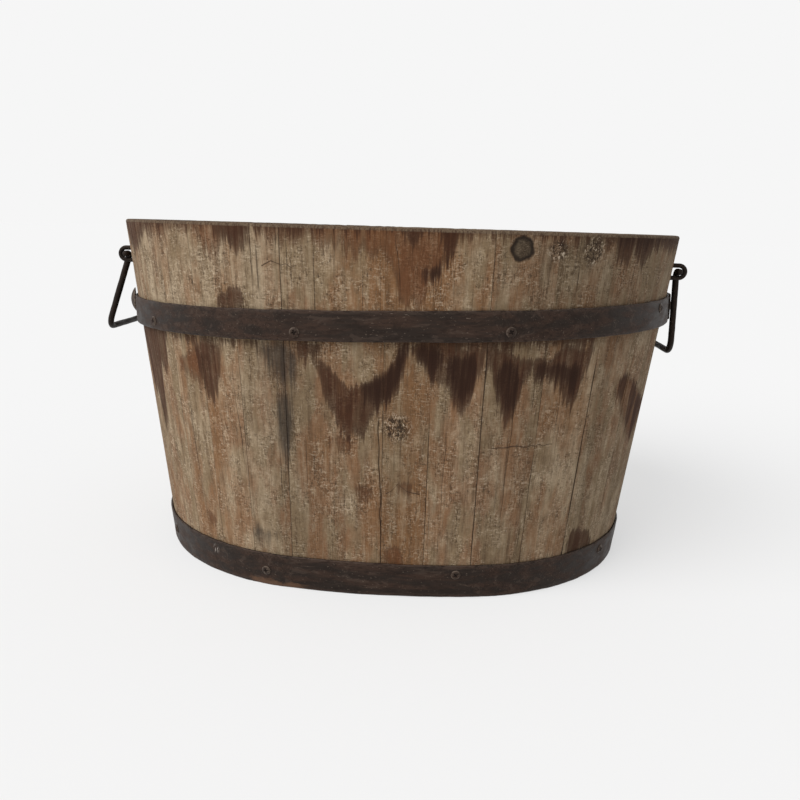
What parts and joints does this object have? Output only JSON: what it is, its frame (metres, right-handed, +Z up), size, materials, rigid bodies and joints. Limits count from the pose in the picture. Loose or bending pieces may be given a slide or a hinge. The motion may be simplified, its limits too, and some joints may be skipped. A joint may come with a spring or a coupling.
{
  "type": "washing tub",
  "caption": "Oval coopered washing tub of splayed wooden staves, with iron hoops, a boarded bottom let into a groove and a swinging wire bail handle in staples at each end.",
  "frame": {"origin": "middle of the oval, on the floor that the tub stands on", "axes": "+Z up, +X along the length of the tub towards the end where the upper hoop sits higher, -Y towards the side that the picture shows"},
  "size_m": [0.6285, 0.4954, 0.35],
  "materials": {
    "weathered_wood": "weathered, unfinished",
    "bottom_wood": "weathered, water-stained",
    "dowel_wood": "bare",
    "hoop_iron": "dull, lightly rusted",
    "fastener_iron": "dark, worn",
    "wire_iron": "black, dull"
  },
  "bodies": {
    "tub": {"stave_1": "weathered_wood", "stave_2": "weathered_wood", "stave_3": "weathered_wood", "stave_4": "weathered_wood", "stave_5": "weathered_wood", "stave_6": "weathered_wood", "stave_7": "weathered_wood", "stave_8": "weathered_wood", "stave_9": "weathered_wood", "stave_10": "weathered_wood", "stave_11": "weathered_wood", "stave_12": "weathered_wood", "stave_13": "weathered_wood", "stave_14": "weathered_wood", "stave_15": "weathered_wood", "stave_16": "weathered_wood", "stave_17": "weathered_wood", "stave_18": "weathered_wood", "stave_19": "weathered_wood", "stave_20": "weathered_wood", "stave_21": "weathered_wood", "stave_22": "weathered_wood", "stave_23": "weathered_wood", "stave_24": "weathered_wood", "stave_25": "weathered_wood", "stave_26": "weathered_wood", "stave_27": "weathered_wood", "stave_28": "weathered_wood", "stave_29": "weathered_wood", "bottom_board_1": "bottom_wood", "bottom_board_2": "bottom_wood", "bottom_board_3": "bottom_wood", "bottom_board_4": "bottom_wood", "bottom_dowels": "dowel_wood", "upper_hoop": "hoop_iron", "lower_hoop": "hoop_iron", "upper_hoop_rivets": "fastener_iron", "lower_hoop_rivets": "fastener_iron", "upper_hoop_screws": "fastener_iron", "lower_hoop_screws": "fastener_iron", "end_stud": "fastener_iron", "left_front_staple": "wire_iron", "left_back_staple": "wire_iron", "right_front_staple": "wire_iron", "right_back_staple": "wire_iron"},
    "left_bail": {"left_bail": "wire_iron"},
    "right_bail": {"right_bail": "wire_iron"}
  },
  "joints": [
    {"name": "left_bail_swing", "type": "hinge", "parent": "tub", "child": "left_bail", "pos_m": [-0.29441, 0, 0.313], "axis": [0, 1, 0], "range_deg": [-20, 151.5]},
    {"name": "right_bail_swing", "type": "hinge", "parent": "tub", "child": "right_bail", "pos_m": [0.29441, 0, 0.313], "axis": [0, -1, 0], "range_deg": [-0.8, 168.7]}
  ]
}
